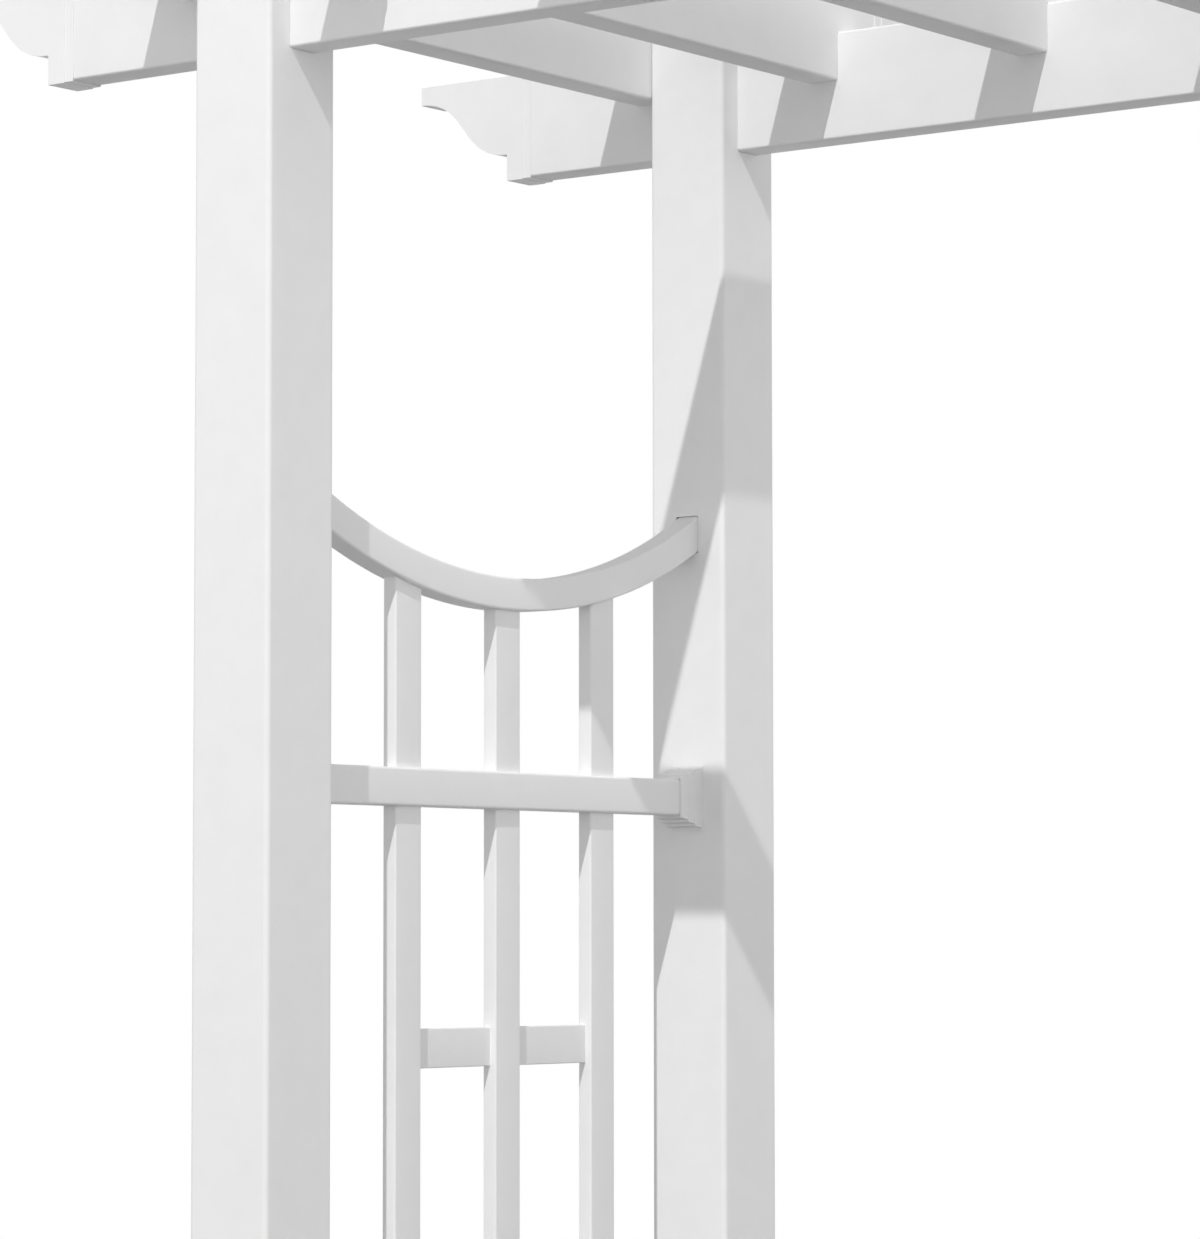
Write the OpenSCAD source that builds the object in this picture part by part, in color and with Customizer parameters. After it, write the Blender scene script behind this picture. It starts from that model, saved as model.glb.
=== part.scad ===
// Vinyl garden arbor: four routed posts, two beams, six notched rafters and two
// side panels with a sagging arched rail. Millimetres, +Z up. The origin is on
// the ground at the middle of the walkway, +X across the walkway, +Y to the rear.

/* [Walkway] */
// Clear width between the left and right posts
walk_w = 1330; // [900:10:1800]
// Clear depth between a front post and the post behind it
side_gap = 852; // [700:4:1100]
// Clear height under the beams
walk_h = 2130; // [2000:10:2400]

/* [Posts] */
// Outside width of the square posts
post_w = 127; // [110:1:150]
// Wall of the posts
post_wall = 4; // [3:0.5:6]
// Radius of the posts' rounded corners
post_round = 7; // [5:0.5:10]
// Height of the posts above the top of the beams
post_rise = 38; // [20:1:60]
// Height of the low pyramid on a post cap
cap_peak = 12; // [6:1:30]
// Thickness of the cap's flat rim
cap_rim = 5; // [3:0.5:8]
// Depth of the cap's plug inside the post
cap_plug = 24; // [10:1:30]

/* [Boards] */
// Height of the beams and rafters
board_h = 152; // [130:1:180]
// Thickness of the beams and rafters
board_t = 51; // [44:1:60]
// Wall of the beams and rafters
board_wall = 3; // [2.5:0.5:5]
// Radius of the boards' rounded edges
board_round = 4; // [3.5:0.5:6]

/* [Beams] */
// Length of bare beam between an outer rafter and the collar of the end cap
beam_bare = 195; // [60:1:300]

/* [Rafters] */
// Spacing of the inner rafters, centre to centre
rafter_pitch = 345; // [250:1:400]
// Height of the rafters' underside above the beams' underside
rafter_lift = 83; // [60:1:110]
// Length of bare rafter between the posts and the collar of the end cap
rafter_bare = 5; // [2:1:120]

/* [End caps] */
// Length of the shaped nose, from its step to its tip
nose_len = 163; // [140:1:190]
// Height of the square tip below the board's top
tip_h = 25; // [18:1:32]
// Height of the step above the board's underside
step_h = 37; // [30:1:42]
// Short flat left at each end of the curve
curve_flat = 3; // [1:0.5:5]
// Steepest slope of the curve, in degrees
curve_slope = 50; // [45:1:55]
// Length of the collar that slips over the board
collar_len = 44; // [30:1:50]
// Length of the thinner lip at the mouth of the collar
lip_len = 15; // [8:1:20]
// Thickness of the thinner lip
lip_wall = 1; // [0.8:0.1:1.4]
// Wall of the collar
cap_wall = 2; // [1.6:0.1:3]
// Depth of the pocket moulded into the nose
pocket_len = 40; // [20:1:50]
// Thickness left under the pocket
pocket_floor = 13; // [12:1:20]

/* [Side panels] */
// Thickness of the rails, across the panel
rail_t = 38; // [34:1:48]
// Height of the straight rails
rail_h = 50; // [44:1:60]
// Height of the arched rail's section
arch_h = 44; // [38:1:52]
// Radius of the arched rail's upper face
arch_radius = 868; // [750:1:1000]
// Height of the lowest point of the arched rail's upper face
arch_low = 1492; // [1420:1:1600]
// Length of the arched rail inside each post
arch_insert = 30; // [15:1:40]
// Underside of the middle rail
mid_rail_z = 1180; // [1100:1:1250]
// Underside of the bottom rail
low_rail_z = 154; // [100:1:200]
// Wall of the rails
rail_wall = 3; // [2:0.5:4]
// Radius of the rails' rounded edges
rail_round = 3.5; // [3:0.5:5]

/* [Balusters] */
// Width of a baluster, along the panel
baluster_w = 54; // [40:1:60]
// Thickness of a baluster, across the panel
baluster_t = 22; // [18:1:26]
// Spacing of the three balusters, centre to centre
baluster_pitch = 211; // [180:1:240]
// Wall of the balusters
baluster_wall = 2; // [1.5:0.5:3]
// Radius of the balusters' rounded edges
baluster_round = 3; // [2.5:0.5:4]
// Length of a baluster inside the arched rail
baluster_insert = 22; // [20:1:26]
// Height of the flat crosspieces between the balusters
cross_h = 52; // [30:1:80]
// Thickness of the crosspieces
cross_t = 9; // [6:0.5:10]
// Offset of the crosspieces towards the outside of the arbor
cross_offset = 3; // [0:0.5:3]
// Length of a crosspiece inside an outer baluster
cross_insert = 24; // [15:1:30]

/* [Rail brackets] */
// Length of a bracket along the rail
bracket_len = 45; // [36:1:60]
// Back plate of a bracket, between the rail's end and the post
bracket_plate = 3; // [2:0.5:5]
// Spread of the bracket's flange above and below the rail
flange_rise = 20; // [16:1:28]
// Spread of the bracket's flange on each side of the rail
flange_side = 9; // [8:0.5:12]
// Wall of the bracket's collar round the rail
bracket_wall = 3; // [2:0.5:4]
// Thickness of the flange against the post
flange_t = 3; // [2:0.5:6]

/* [Post mounts] */
// Side of the square steel base plate
plate_w = 112; // [106:1:113]
// Thickness of the base plate
plate_t = 8; // [5:1:12]
// Spacing of the four anchor holes, both ways
anchor_pitch = 80; // [76:1:84]
// Diameter of an anchor hole
anchor_d = 11; // [9:0.5:13]
// Outside diameter of the steel tube
tube_d = 48; // [42:1:52]
// Wall of the steel tube
tube_wall = 3; // [2:0.5:4]
// Height of the tube's top above the ground
tube_h = 900; // [700:10:1100]
// Thickness of a plastic guide between the tube and the post
guide_t = 20; // [12:1:30]
// Height of the lower guide above the ground
guide_low = 60; // [40:1:90]
// Depth of the upper guide below the top of the tube
guide_drop = 60; // [30:1:120]

/* [Screws] */
// Diameter of the screws that hold the rafters down
rafter_screw_d = 6; // [5:0.5:8]
// Length of a rafter screw inside the beam
rafter_screw_bite = 15; // [8:1:30]
// Diameter of the screws that hold the brackets
bracket_screw_d = 5; // [4:0.5:6]
// Length of a bracket screw past the inside of the post's wall
bracket_screw_bite = 12; // [6:1:16]
// Height of the screws above and below the middle of a bracket
bracket_screw_pitch = 12; // [9:0.5:14]
// Height of a screw head
head_h = 3; // [2:0.5:4]

/* [Fits] */
// Gap between a piece and the slot, socket or notch that it sits in
fit = 0.4; // [0.2:0.1:0.6]
// Gap between a screw or tube and its hole, on the radius
hole_fit = 0.2; // [0.1:0.05:0.4]

/* [Hidden] */
$fn = 48;

vinyl = "#f4f4f2";
steel = "#9a9ea3";
plastic = "#3a3c40";

// Where the posts, beams and rafters stand
post_x = walk_w / 2 + post_w / 2;
post_y = side_gap / 2 + post_w / 2;
beam_top = walk_h + board_h;
post_top = beam_top + post_rise;
rafter_z = walk_h + rafter_lift;
outer_rafter_x = post_x + post_w / 2 + board_t / 2;
beam_end = outer_rafter_x + board_t / 2 + beam_bare + collar_len;
rafter_end = post_y + post_w / 2 + rafter_bare + collar_len;
rafter_xs = [
  -outer_rafter_x,
  -1.5 * rafter_pitch,
  -0.5 * rafter_pitch,
  0.5 * rafter_pitch,
  1.5 * rafter_pitch,
  outer_rafter_x
];

// Curve of the end caps: a cove and a bulge of one radius, with a straight between
curve_len = nose_len - 2 * curve_flat;
curve_h = board_h - tip_h - step_h;
curve_r = (curve_len * sin(curve_slope) - curve_h * cos(curve_slope)) / (2 * (1 - cos(curve_slope)));
curve_x = curve_r * sin(curve_slope);
curve_z = curve_r * (1 - cos(curve_slope));
cap_proud = fit + cap_wall;
lip_proud = fit + lip_wall;

// Boards stop short of the wall that closes an end cap below its nose
board_short = fit + cap_wall;

// Arched rail
arch_outer = arch_radius + arch_h;
arch_centre = arch_low + arch_radius;
function arch_z(radius, y) = arch_centre - sqrt(radius * radius - y * y);

// Crosspieces stand at the third points between the two straight rails
rail_step = (mid_rail_z - low_rail_z) / 3;
cross_zs = [low_rail_z + rail_h / 2 + rail_step, low_rail_z + rail_h / 2 + 2 * rail_step];
cross_len = 2 * baluster_pitch - baluster_w + 2 * cross_insert;

// Rail brackets
flange_w = rail_t + 2 * flange_side;
flange_h = rail_h + 2 * flange_rise;
bracket_w = rail_t + 2 * fit + 2 * bracket_wall;
bracket_h = rail_h + 2 * fit + 2 * bracket_wall;
rail_len = side_gap - 2 * bracket_plate - 2 * fit;
bracket_screw_zs = [for (z = [low_rail_z, mid_rail_z], s = [-1, 1]) z + rail_h / 2 + s * bracket_screw_pitch];
flare_rows = 3;
flare_run = (bracket_len - flange_t) / flare_rows;
flare_lip = 0.5;
past = 1;

module rounded_section(w, h, r) {
  square([w - 2 * r, h], center = true);
  square([w, h - 2 * r], center = true);
  for (x = [-1, 1], y = [-1, 1]) {
    translate([x * (w / 2 - r), y * (h / 2 - r)]) circle(r = r);
  }
}

module tube_section(w, h, r, wall) {
  difference() {
    rounded_section(w, h, r);
    rounded_section(w - 2 * wall, h - 2 * wall, max(r - wall, 0.5));
  }
}

// Hollow profile along Y, centred on the origin
module profile_y(len, t, h, r, wall) {
  rotate([90, 0, 0]) linear_extrude(height = len, center = true) tube_section(t, h, r, wall);
}

// Screw along +Z with its head resting on the plane z = 0
module screw(d, len) {
  translate([0, 0, -len]) cylinder(d = d, h = len);
  cylinder(d = 2 * d, h = head_h);
}

module at_post(side, end) {
  translate([side * post_x, end * post_y, 0]) children();
}

// Slot in the post's inner wall for the end of the arched rail
module arch_slot(end) {
  slot_low = arch_z(arch_outer, side_gap / 2) - fit;
  slot_high = arch_z(arch_radius, side_gap / 2 + post_wall) + fit;
  translate([0, -end * (post_w / 2 - post_wall / 2), (slot_low + slot_high) / 2])
    cube([rail_t + 2 * fit, post_wall + 2 * past, slot_high - slot_low], center = true);
}

module post(side, end) {
  color(vinyl) at_post(side, end) difference() {
    linear_extrude(height = post_top) tube_section(post_w, post_w, post_round, post_wall);
    translate([0, 0, walk_h + board_h / 2]) rotate([90, 0, 90])
      linear_extrude(height = post_w + 2 * past, center = true)
        rounded_section(board_t + 2 * fit, board_h + 2 * fit, board_round + fit);
    arch_slot(end);
    for (z = bracket_screw_zs) {
      translate([0, -end * (post_w / 2 - post_wall / 2), z]) rotate([90, 0, 0])
        cylinder(d = bracket_screw_d + 2 * hole_fit, h = post_wall + 2 * past, center = true);
    }
  }
}

module post_cap(side, end) {
  plug_w = post_w - 2 * post_wall - 2 * fit;
  color(vinyl) at_post(side, end) translate([0, 0, post_top]) {
    linear_extrude(height = cap_rim) rounded_section(post_w, post_w, post_round);
    translate([0, 0, cap_rim]) intersection() {
      cap_ridge();
      rotate([0, 0, 90]) cap_ridge();
    }
    translate([0, 0, -cap_plug]) linear_extrude(height = cap_plug)
      tube_section(plug_w, plug_w, post_round - post_wall, post_wall);
  }
}

module cap_ridge() {
  foot = post_w / 2 - post_round / 2;
  rotate([90, 0, 0]) linear_extrude(height = 2 * foot, center = true)
    polygon([[-foot, 0], [foot, 0], [0, cap_peak]]);
}

module post_mount(side, end) {
  color(steel) at_post(side, end) difference() {
    union() {
      linear_extrude(height = plate_t) rounded_section(plate_w, plate_w, post_round);
      cylinder(d = tube_d, h = tube_h);
    }
    translate([0, 0, -past]) cylinder(d = tube_d - 2 * tube_wall, h = tube_h + 2 * past);
    for (x = [-1, 1], y = [-1, 1]) {
      translate([x * anchor_pitch / 2, y * anchor_pitch / 2, -past])
        cylinder(d = anchor_d, h = plate_t + 2 * past);
    }
  }
}

module post_guides(side, end) {
  guide_w = post_w - 2 * post_wall - 2 * fit;
  color(plastic) at_post(side, end) for (z = [guide_low, tube_h - guide_drop - guide_t]) {
    translate([0, 0, z]) difference() {
      linear_extrude(height = guide_t) rounded_section(guide_w, guide_w, post_round);
      translate([0, 0, -past]) cylinder(d = tube_d + 2 * hole_fit, h = guide_t + 2 * past);
    }
  }
}

module beam(end) {
  color(vinyl) difference() {
    translate([0, end * post_y, walk_h + board_h / 2]) rotate([0, 0, 90])
      profile_y(2 * (beam_end - board_short), board_t, board_h, board_round, board_wall);
    for (x = rafter_xs) {
      translate([x, end * post_y, beam_top - board_wall - past])
        cylinder(d = rafter_screw_d + 2 * hole_fit, h = board_wall + 2 * past);
    }
  }
}

// Side view of an end cap: x runs outwards from its step, y up from the board's underside
module cap_outline() {
  top = board_h + cap_proud;
  curve_top = board_h - tip_h;
  bulge_end = [curve_flat + curve_x, step_h + curve_z];
  cove_end = [nose_len - curve_flat - curve_x, curve_top - curve_z];
  translate([lip_len - collar_len, -cap_proud]) square([collar_len - lip_len, board_h + 2 * cap_proud]);
  translate([-collar_len, -lip_proud]) square([lip_len, board_h + 2 * lip_proud]);
  difference() {
    union() {
      polygon([
        [0, top], [0, step_h], [curve_flat, step_h], bulge_end, cove_end,
        [nose_len - curve_flat, curve_top], [nose_len, curve_top], [nose_len, top]
      ]);
      intersection() {
        translate([curve_flat, step_h + curve_r]) circle(r = curve_r, $fn = 96);
        translate([curve_flat, step_h]) square([curve_x, curve_z]);
      }
    }
    intersection() {
      translate([nose_len - curve_flat, curve_top - curve_r]) circle(r = curve_r, $fn = 96);
      translate(cove_end) square([curve_x, curve_z]);
    }
  }
}

// End cap on the +Y end of a board whose underside is at z = 0
module end_cap() {
  cap_t = board_t + 2 * cap_proud;
  lip_t = board_t + 2 * lip_proud;
  pocket_h = board_h - step_h - pocket_floor;
  difference() {
    intersection() {
      rotate([90, 0, 90]) linear_extrude(height = cap_t, center = true) cap_outline();
      union() {
        translate([-lip_t / 2, -collar_len, -cap_proud]) cube([lip_t, collar_len, board_h + 2 * cap_proud]);
        translate([-cap_t / 2, lip_len - collar_len, -cap_proud])
          cube([cap_t, collar_len - lip_len + nose_len, board_h + 2 * cap_proud]);
      }
    }
    translate([-board_t / 2 - fit, -collar_len - past, -fit])
      cube([board_t + 2 * fit, collar_len + past - cap_wall, board_h + 2 * fit]);
    translate([-board_t / 2 + cap_wall, -cap_wall - past, step_h + pocket_floor])
      cube([board_t - 2 * cap_wall, pocket_len + cap_wall + past, pocket_h]);
  }
}

module beam_cap(side, end) {
  color(vinyl) translate([side * beam_end, end * post_y, walk_h]) rotate([0, 0, -side * 90]) end_cap();
}

module rafter(i) {
  notch_h = board_h - rafter_lift;
  color(vinyl) translate([rafter_xs[i], 0, 0]) difference() {
    translate([0, 0, rafter_z + board_h / 2])
      profile_y(2 * (rafter_end - board_short), board_t, board_h, board_round, board_wall);
    for (end = [-1, 1]) {
      translate([0, end * post_y, rafter_z + (notch_h - past) / 2])
        cube([board_t + 2 * past, board_t + 2 * fit, notch_h + past], center = true);
      translate([0, end * post_y, rafter_z + board_h - board_wall - past])
        cylinder(d = rafter_screw_d + 2 * hole_fit, h = board_wall + 2 * past);
    }
  }
}

module rafter_cap(i, end) {
  color(vinyl) translate([rafter_xs[i], end * rafter_end, rafter_z])
    rotate([0, 0, end > 0 ? 0 : 180]) end_cap();
}

// Slots that let the three balusters through a rail
module baluster_slots(low, high) {
  for (i = [-1:1]) {
    translate([0, i * baluster_pitch, (low + high) / 2])
      cube([baluster_t + 2 * fit, baluster_w + 2 * fit, high - low], center = true);
  }
}

function baluster_top(i) = arch_z(arch_outer, i * baluster_pitch) + baluster_insert;

module arched_rail(side) {
  mid_radius = arch_radius + arch_h / 2;
  reach = side_gap / 2 + arch_insert;
  color(vinyl) translate([side * post_x, 0, 0]) difference() {
    intersection() {
      translate([0, 0, arch_centre]) rotate([0, 90, 0]) rotate_extrude($fn = 180)
        translate([mid_radius, 0]) tube_section(arch_h, rail_t, rail_round, rail_wall);
      translate([-rail_t, -reach, arch_low - 2 * arch_h]) cube([2 * rail_t, 2 * reach, arch_radius / 2]);
    }
    for (i = [-1:1]) {
      translate([0, i * baluster_pitch, baluster_top(i) - arch_h + fit])
        cube([baluster_t + 2 * fit, baluster_w + 2 * fit, 2 * arch_h], center = true);
    }
  }
}

module middle_rail(side) {
  color(vinyl) translate([side * post_x, 0, 0]) difference() {
    translate([0, 0, mid_rail_z + rail_h / 2]) profile_y(rail_len, rail_t, rail_h, rail_round, rail_wall);
    baluster_slots(mid_rail_z - past, mid_rail_z + rail_h + past);
  }
}

module bottom_rail(side) {
  color(vinyl) translate([side * post_x, 0, 0]) difference() {
    translate([0, 0, low_rail_z + rail_h / 2]) profile_y(rail_len, rail_t, rail_h, rail_round, rail_wall);
    baluster_slots(low_rail_z + rail_wall, low_rail_z + rail_h + past);
  }
}

module baluster(side, i) {
  foot = low_rail_z + rail_wall;
  color(vinyl) translate([side * post_x, i * baluster_pitch, 0]) difference() {
    translate([0, 0, foot]) linear_extrude(height = baluster_top(i) - foot)
      tube_section(baluster_t, baluster_w, baluster_round, baluster_wall);
    for (z = cross_zs) {
      translate([side * cross_offset, -i * baluster_w / 2, z])
        cube([cross_t + 2 * fit, baluster_w + (i == 0 ? 2 * past : 0), cross_h + 2 * fit], center = true);
    }
  }
}

module crosspiece(side, row) {
  color(vinyl) translate([side * (post_x + cross_offset), 0, cross_zs[row]])
    cube([cross_t, cross_len, cross_h], center = true);
}

// One edge of a bracket's flare, from its mouth to the post: each row is a slope and then a lip
function flare_edge(flange, collar) = let (rise = (flange - collar) / 2 / flare_rows) [
  [bracket_len, collar / 2],
  for (row = [1:flare_rows]) each [
    [bracket_len - row * flare_run, collar / 2 + (row - flare_lip) * rise],
    [bracket_len - row * flare_run, collar / 2 + row * rise]
  ],
  [0, flange / 2]
];

// Side view of a bracket: x runs along the rail from the post
module flare_outline(flange, collar) {
  edge = flare_edge(flange, collar);
  polygon(concat(edge, [for (i = [len(edge) - 1:-1:0]) [edge[i].x, -edge[i].y]]));
}

// Bracket on a post face at y = 0, with the rail running off along +Y at z = 0
module rail_bracket() {
  difference() {
    intersection() {
      rotate([90, 0, 90]) linear_extrude(height = flange_w, center = true) flare_outline(flange_h, bracket_h);
      linear_extrude(height = flange_h, center = true) rotate([0, 0, 90]) flare_outline(flange_w, bracket_w);
    }
    translate([-rail_t / 2 - fit, bracket_plate, -rail_h / 2 - fit])
      cube([rail_t + 2 * fit, bracket_len, rail_h + 2 * fit]);
    for (s = [-1, 1]) {
      translate([0, -past, s * bracket_screw_pitch]) rotate([-90, 0, 0])
        cylinder(d = bracket_screw_d + 2 * hole_fit, h = bracket_plate + 2 * past);
    }
  }
}

module at_brackets(side) {
  for (end = [-1, 1], z = [low_rail_z, mid_rail_z]) {
    translate([side * post_x, end * side_gap / 2, z + rail_h / 2]) rotate([0, 0, end > 0 ? 180 : 0]) children();
  }
}

module rail_brackets(side) {
  color(vinyl) at_brackets(side) rail_bracket();
}

module bracket_screws() {
  reach = bracket_plate + post_wall + bracket_screw_bite;
  color(steel) for (side = [-1, 1]) {
    at_brackets(side) for (s = [-1, 1]) {
      translate([0, bracket_plate, s * bracket_screw_pitch]) rotate([-90, 0, 0])
        screw(bracket_screw_d, reach);
    }
  }
}

module rafter_screws() {
  reach = rafter_z + board_h - beam_top + rafter_screw_bite;
  color(steel) for (x = rafter_xs, end = [-1, 1]) {
    translate([x, end * post_y, rafter_z + board_h]) screw(rafter_screw_d, reach);
  }
}

post(-1, -1);  // post_front_left
post(1, -1);  // post_front_right
post(-1, 1);  // post_rear_left
post(1, 1);  // post_rear_right
post_cap(-1, -1);  // post_cap_front_left
post_cap(1, -1);  // post_cap_front_right
post_cap(-1, 1);  // post_cap_rear_left
post_cap(1, 1);  // post_cap_rear_right
post_mount(-1, -1);  // post_mount_front_left
post_mount(1, -1);  // post_mount_front_right
post_mount(-1, 1);  // post_mount_rear_left
post_mount(1, 1);  // post_mount_rear_right
post_guides(-1, -1);  // post_guides_front_left
post_guides(1, -1);  // post_guides_front_right
post_guides(-1, 1);  // post_guides_rear_left
post_guides(1, 1);  // post_guides_rear_right
beam(-1);  // beam_front
beam(1);  // beam_rear
beam_cap(-1, -1);  // beam_cap_front_left
beam_cap(1, -1);  // beam_cap_front_right
beam_cap(-1, 1);  // beam_cap_rear_left
beam_cap(1, 1);  // beam_cap_rear_right
rafter(0);  // rafter_1
rafter(1);  // rafter_2
rafter(2);  // rafter_3
rafter(3);  // rafter_4
rafter(4);  // rafter_5
rafter(5);  // rafter_6
rafter_cap(0, -1);  // rafter_cap_front_1
rafter_cap(1, -1);  // rafter_cap_front_2
rafter_cap(2, -1);  // rafter_cap_front_3
rafter_cap(3, -1);  // rafter_cap_front_4
rafter_cap(4, -1);  // rafter_cap_front_5
rafter_cap(5, -1);  // rafter_cap_front_6
rafter_cap(0, 1);  // rafter_cap_rear_1
rafter_cap(1, 1);  // rafter_cap_rear_2
rafter_cap(2, 1);  // rafter_cap_rear_3
rafter_cap(3, 1);  // rafter_cap_rear_4
rafter_cap(4, 1);  // rafter_cap_rear_5
rafter_cap(5, 1);  // rafter_cap_rear_6
arched_rail(-1);  // arched_rail_left
arched_rail(1);  // arched_rail_right
middle_rail(-1);  // middle_rail_left
middle_rail(1);  // middle_rail_right
bottom_rail(-1);  // bottom_rail_left
bottom_rail(1);  // bottom_rail_right
baluster(-1, -1);  // baluster_left_1
baluster(-1, 0);  // baluster_left_2
baluster(-1, 1);  // baluster_left_3
baluster(1, -1);  // baluster_right_1
baluster(1, 0);  // baluster_right_2
baluster(1, 1);  // baluster_right_3
crosspiece(-1, 1);  // crosspiece_upper_left
crosspiece(1, 1);  // crosspiece_upper_right
crosspiece(-1, 0);  // crosspiece_lower_left
crosspiece(1, 0);  // crosspiece_lower_right
rail_brackets(-1);  // rail_brackets_left
rail_brackets(1);  // rail_brackets_right
bracket_screws();
rafter_screws();
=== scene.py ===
# %% [markdown]
# # A white vinyl garden arbor
# The real arbor is a kit of hollow vinyl extrusions and a few mouldings: square
# posts, boards with scrolled end caps, and side panels of balusters. Each shape
# is either one profile cut to length or one moulding used again and again, and
# this script is laid out the same way. It starts with the frame, which is the
# engineer's model of the arbor, and each piece is set where that model has it.

import math

import bmesh
import bpy
from mathutils import Matrix, Vector


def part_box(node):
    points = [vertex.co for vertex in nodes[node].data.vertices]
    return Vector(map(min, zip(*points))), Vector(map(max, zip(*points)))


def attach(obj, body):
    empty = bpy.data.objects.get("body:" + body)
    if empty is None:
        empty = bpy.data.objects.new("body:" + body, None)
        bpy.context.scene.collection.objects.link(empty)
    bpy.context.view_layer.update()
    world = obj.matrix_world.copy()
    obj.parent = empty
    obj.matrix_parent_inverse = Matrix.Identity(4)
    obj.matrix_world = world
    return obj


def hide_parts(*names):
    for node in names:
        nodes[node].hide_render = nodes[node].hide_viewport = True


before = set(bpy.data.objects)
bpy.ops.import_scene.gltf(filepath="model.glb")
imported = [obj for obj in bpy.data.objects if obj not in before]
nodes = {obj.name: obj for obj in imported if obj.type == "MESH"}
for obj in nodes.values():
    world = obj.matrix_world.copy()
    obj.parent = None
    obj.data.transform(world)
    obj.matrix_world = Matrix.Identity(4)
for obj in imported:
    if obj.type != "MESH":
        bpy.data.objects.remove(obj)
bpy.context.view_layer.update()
scene = bpy.context.scene
MM = 0.001
SIDES = ("left", "right")
ENDS = ("front", "rear")
CORNERS = [f"{end}_{side}" for end in ENDS for side in SIDES]

# %% [markdown]
# ## The camera
# A photograph's viewpoint can be worked out from lines that are parallel on the
# real thing. Here they put the lens a metre above the ground, in front and to the
# right, with a long focal length, so that the uprights hardly converge.

# %% Place the camera
SENSOR_WIDTH = 36  # millimetres, as the focal length is
FOCAL_LENGTH = 136.1
CAMERA_PLACE = (3.1649, -4.9579, 1.006)
CAMERA_TURN = (93.9035, 0.0567, 36.944)  # degrees
FARTHEST = 100
lens = bpy.data.cameras.new("camera")
lens.sensor_width = SENSOR_WIDTH
lens.lens = FOCAL_LENGTH
lens.clip_end = FARTHEST
camera = bpy.data.objects.new("camera", lens)
camera.location = CAMERA_PLACE
camera.rotation_euler = [math.radians(turn) for turn in CAMERA_TURN]
scene.collection.objects.link(camera)
scene.camera = camera
print("camera at", CAMERA_PLACE, "with a", FOCAL_LENGTH, "mm lens")

# %% [markdown]
# ## Colours and nodes
# Colours are written as the hex codes that a painter's chart or a web page would
# give. Blender works in linear light, so one function turns them. A second one
# adds a node, sets what it is told and links what it is given, and a third is
# short for the commonest node, which does one sum. They serve the shader trees
# and the geometry trees alike.

# %% Three small helpers
def colour(code):
    """Linear red, green, blue and alpha of an sRGB hex code."""
    parts = [int(code[i:i + 2], 16) / 255 for i in (1, 3, 5)]
    return (*[c / 12.92 if c <= 0.04045 else ((c + 0.055) / 1.055) ** 2.4 for c in parts], 1.0)


def add(tree, kind, inputs=None, **settings):
    """Adds a node to a tree. An input is either a value or another node's output."""
    node = tree.nodes.new(kind)
    for name, value in settings.items():
        setattr(node, name, value)
    for name, value in (inputs or {}).items():
        if isinstance(value, bpy.types.NodeSocket):
            tree.links.new(value, node.inputs[name])
        else:
            node.inputs[name].default_value = value
    return node


def maths(tree, operation, *values):
    """What a Math node makes of its values. Each is a number or another node's output."""
    return add(tree, "ShaderNodeMath", dict(enumerate(values)), operation=operation).outputs[0]


# %% [markdown]
# ## How a material is made
# Every finish here is the same recipe. A soft random pattern, the size of some
# real unevenness, picks between two close colours. The same pattern moves the
# roughness a little, and in places a fine one stands out as relief.

# %% Patterns, ranges, colours and relief
COLOUR_A, COLOUR_B, COLOUR_OUT = 6, 7, 2  # the sockets of a Mix node that mixes colours


def here(tree):
    """Where on the object a point of the surface is."""
    return add(tree, "ShaderNodeTexCoord").outputs["Object"]


def noise(tree, where, scale, detail, roughness=0.5):
    """A soft random pattern, from nought to one."""
    return add(tree, "ShaderNodeTexNoise", {
        "Vector": where, "Scale": scale, "Detail": detail, "Roughness": roughness}).outputs[0]


def ranged(tree, value, low, high, start=0.0, end=1.0):
    """Turns a value that runs from start to end into one that runs from low to high."""
    return add(tree, "ShaderNodeMapRange", {
        "Value": value, "From Min": start, "From Max": end,
        "To Min": low, "To Max": high}).outputs["Result"]


def blend(tree, factor, first, second):
    """Mixes two colours. Each is a hex code or another node's output."""
    first, second = [colour(c) if isinstance(c, str) else c for c in (first, second)]
    return add(tree, "ShaderNodeMix", {
        "Factor": factor, COLOUR_A: first, COLOUR_B: second}, data_type="RGBA").outputs[COLOUR_OUT]


def bump(tree, height, strength, distance):
    """Lights a smooth surface as if a pattern stood out of it."""
    return add(tree, "ShaderNodeBump", {
        "Height": height, "Strength": strength, "Distance": distance}).outputs["Normal"]


# %% Start and end a material
SHADER = "Principled BSDF"


def new_material(name, values):
    """A material whose shader has the given values. Returns it and its tree."""
    material = bpy.data.materials.new(name)
    material.use_nodes = True
    for socket, value in values.items():
        material.node_tree.nodes[SHADER].inputs[socket].default_value = value
    return material, material.node_tree


def wire(material, outputs):
    """Links nodes' outputs to the sockets of the material's shader."""
    tree = material.node_tree
    for socket, output in outputs.items():
        tree.links.new(output, tree.nodes[SHADER].inputs[socket])
    print("material", material.name, "with", len(tree.nodes), "nodes")


# %% [markdown]
# ## Extruded vinyl
# Posts, boards, rails and balusters are rigid PVC pushed hot through a steel die,
# with titanium white through and through. The die leaves faint lines that run the
# whole length of a profile, and cooling leaves a very slight waviness, so the
# satin gloss is never quite even. The lines have to run along each piece, whichever
# way it points, and round the bend of the arched rail. So every extruded piece
# carries its own "flow" attribute: x and y across the profile, z along it.
# Real die lines are about 1 mm apart. They are drawn 5 mm apart here, or they
# would vanish between the pixels.

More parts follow.
